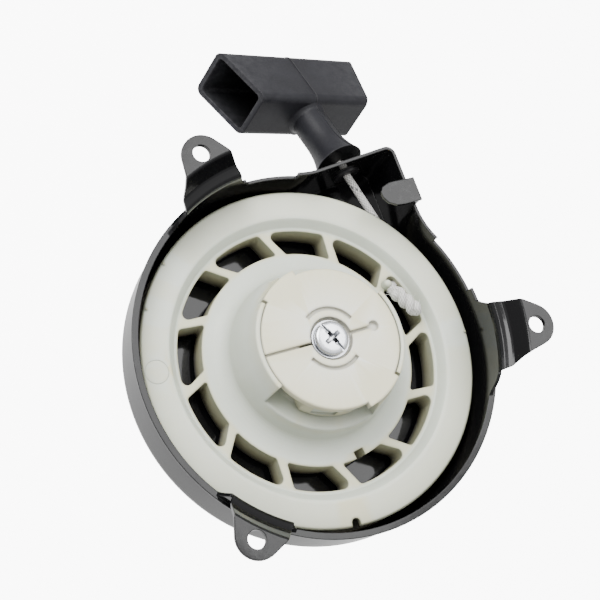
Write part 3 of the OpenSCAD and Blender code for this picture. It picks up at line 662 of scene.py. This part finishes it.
def lathe(name, profile, around, mat, place=Matrix.Identity(4)):
    """Closed solid of revolution about Z; the profile runs from the axis to the axis, in mm."""
    bm = bmesh.new()
    rings = []
    for r, z in profile:
        if abs(r) < 1e-9:
            rings.append([bm.verts.new(place @ mm(0, 0, z))])
        else:
            rings.append([bm.verts.new(place @ mm(r * math.cos(2 * math.pi * k / around),
                                                  r * math.sin(2 * math.pi * k / around), z))
                          for k in range(around)])
    for a, b in zip(rings, rings[1:]):
        for k in range(around):
            q = (k + 1) % around
            ring = [a[k % len(a)], a[q % len(a)], b[q % len(b)], b[k % len(b)]]
            corners = [v for i, v in enumerate(ring) if v not in ring[:i]]
            bm.faces.new(corners).smooth = True
    bmesh.ops.recalc_face_normals(bm, faces=bm.faces)
    me = bpy.data.meshes.new(name)
    bm.to_mesh(me)
    bm.free()
    me.materials.append(mat)
    ob = bpy.data.objects.new(name, me)
    bpy.context.collection.objects.link(ob)
    return ob


def wedge(length, width, low_length, low_width, low_z, high_z, turn):
    """Tapered cutter for one arm of a recess."""
    bm = bmesh.new()
    place = Matrix.Rotation(math.radians(turn), 4, "Z")
    corners = ((-1, -1), (1, -1), (1, 1), (-1, 1))
    rows = [[bm.verts.new(place @ mm(x * a / 2, y * b / 2, z)) for x, y in corners]
            for a, b, z in ((low_length, low_width, low_z), (length, width, high_z))]
    bm.faces.new(list(reversed(rows[0])))
    bm.faces.new(rows[1])
    for k in range(4):
        q = (k + 1) % 4
        bm.faces.new((rows[0][k], rows[0][q], rows[1][q], rows[1][k]))
    me = bpy.data.meshes.new("cutter")
    bm.to_mesh(me)
    bm.free()
    ob = bpy.data.objects.new("cutter", me)
    bpy.context.collection.objects.link(ob)
    return ob


def carve(ob, cutters):
    """Cuts each cutter out of the piece and keeps the result as its mesh."""
    for c in cutters:
        m = ob.modifiers.new("cut", "BOOLEAN")
        m.operation = "DIFFERENCE"
        m.solver = "EXACT"
        m.object = c
    bpy.context.view_layer.update()
    done = bpy.data.meshes.new_from_object(ob.evaluated_get(bpy.context.evaluated_depsgraph_get()))
    ob.modifiers.clear()
    ob.data = done
    for c in cutters:
        bpy.data.objects.remove(c)


SCREW_TOP = -3.5  # top of the head, mm
SLOT_TURN = 126  # degrees
CROWN_R = 5.35
CROWN_DROP = 0.28


def centre_screw():
    """Pan head with a full slot crossed by a tapered cross recess."""
    head_z = SCREW_TOP - 2.5
    shank = [(0, -12.8), (2.0, -12.8), (2.5, -12.3), (2.5, 0)]
    rim = [(6.0, 0), (6.2, 0.2), (6.2, 1.35), (6.05, 1.75), (5.75, 2.05), (CROWN_R, 2.22)]
    profile = [(r, head_z + z) for r, z in shank + rim]
    for i in range(1, 7):
        out = 1 - i / 6
        profile.append((CROWN_R * out, SCREW_TOP - CROWN_DROP * out ** 2))
    ob = lathe("centre_screw_head", profile, 128, MAT["zinc"])
    top = SCREW_TOP + 0.6
    carve(ob, [
        wedge(14, 1.15, 14, 0.85, SCREW_TOP - 0.95, top, SLOT_TURN),
        wedge(6.2, 1.75, 3.4, 0.8, SCREW_TOP - 2.0, top, SLOT_TURN),
        wedge(7.0, 1.6, 3.6, 0.8, SCREW_TOP - 2.0, top, SLOT_TURN - 90),
    ])
    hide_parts("centre_screw")
    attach(ob, "frame")


PEG_R, PEG_TURN = 44.0, 37.0  # mm from the axis, and degrees
WEB_Z = -28.7  # just under the pulley's web, mm


def moulded_peg():
    """Small domed peg beside the rope's window."""
    turn = math.radians(PEG_TURN)
    place = Matrix.Translation(mm(PEG_R * math.cos(turn), PEG_R * math.sin(turn), WEB_Z))
    profile = [(0, -0.5), (2.1, -0.5), (2.0, 0.1), (1.75, 0.5), (1.68, 1.6), (1.5, 2.3), (1.1, 2.8),
               (0.6, 3.05), (0, 3.12)]
    ob = lathe("moulded_peg", profile, 40, MAT["nylon"], place)
    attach(ob, "pulley")


centre_screw()
moulded_peg()
wound_rope()
straight_rope()
rope_tail()
stopper_knot()
grip_knot()


# ---------------------------------------------------------------- floor and light

BACKDROP = 8.0  # brightness of the floor and the room as the camera sees them
PULL_TRAVEL = 0.98  # m
FLOOR_GAP = 0.01  # m below the handle's lowest place
FLOOR_HALF = 3.0  # m


def floor():
    """White floor, low enough for the handle at the end of its pull."""
    n = Nodes("floor_paper")
    n.link(n.ramp(n.noise(6, 3, 0.5), (0.3, (0.90, 0.90, 0.90)), (0.8, (0.92, 0.92, 0.92))),
           n.shader.inputs["Base Color"])
    n.shader.inputs["Roughness"].default_value = 0.7
    n.shader.inputs["Emission Color"].default_value = (1, 1, 1, 1)
    seen = n.add("ShaderNodeLightPath").outputs["Is Camera Ray"]
    n.link(n.math("MULTIPLY", seen, BACKDROP), n.shader.inputs["Emission Strength"])
    z = CAD_BOX[0][2] - PULL_TRAVEL * math.sin(PULL_DROOP) - FLOOR_GAP
    bm = bmesh.new()
    bmesh.ops.create_grid(bm, x_segments=8, y_segments=8, size=FLOOR_HALF)
    me = bpy.data.meshes.new("floor")
    bm.to_mesh(me)
    bm.free()
    me.materials.append(n.mat)
    ob = bpy.data.objects.new("floor", me)
    ob.location = (0, 0, z)
    bpy.context.collection.objects.link(ob)


floor()


def studio():
    """White room, brightest overhead and dim at eye height, so that gloss has something to show."""
    world = bpy.data.worlds.new("studio")
    world.use_nodes = True
    tree = world.node_tree
    back = tree.nodes["Background"]
    split = tree.nodes.new("ShaderNodeSeparateXYZ")
    tree.links.new(tree.nodes.new("ShaderNodeTexCoord").outputs["Generated"], split.inputs[0])
    rise = tree.nodes.new("ShaderNodeMapRange")
    tree.links.new(split.outputs["Z"], rise.inputs["Value"])
    for k, v in (("From Min", 0.05), ("From Max", 0.95), ("To Min", 0.3), ("To Max", 1.5)):
        rise.inputs[k].default_value = v
    seen = tree.nodes.new("ShaderNodeLightPath").outputs["Is Camera Ray"]
    plain = tree.nodes.new("ShaderNodeMix")
    tree.links.new(seen, plain.inputs["Factor"])
    tree.links.new(rise.outputs["Result"], plain.inputs["A"])
    plain.inputs["B"].default_value = BACKDROP
    tree.links.new(plain.outputs["Result"], back.inputs["Strength"])
    back.inputs["Color"].default_value = (1, 1, 1, 1)
    bpy.context.scene.world = world


studio()
area_light("mirror", (0.34, 0.28, 0.84), 0.42, 3.0)
area_light("key", (-0.35, 0.45, 0.75), 0.6, 12)


# ---------------------------------------------------------------- CAD nodes that stay

for part in frame["record"]["subparts"]:
    name, slot = part["node"], part["material_slot"]
    ob = NODES[name]
    ob.data.materials.clear()
    ob.data.materials.append(MAT[slot])
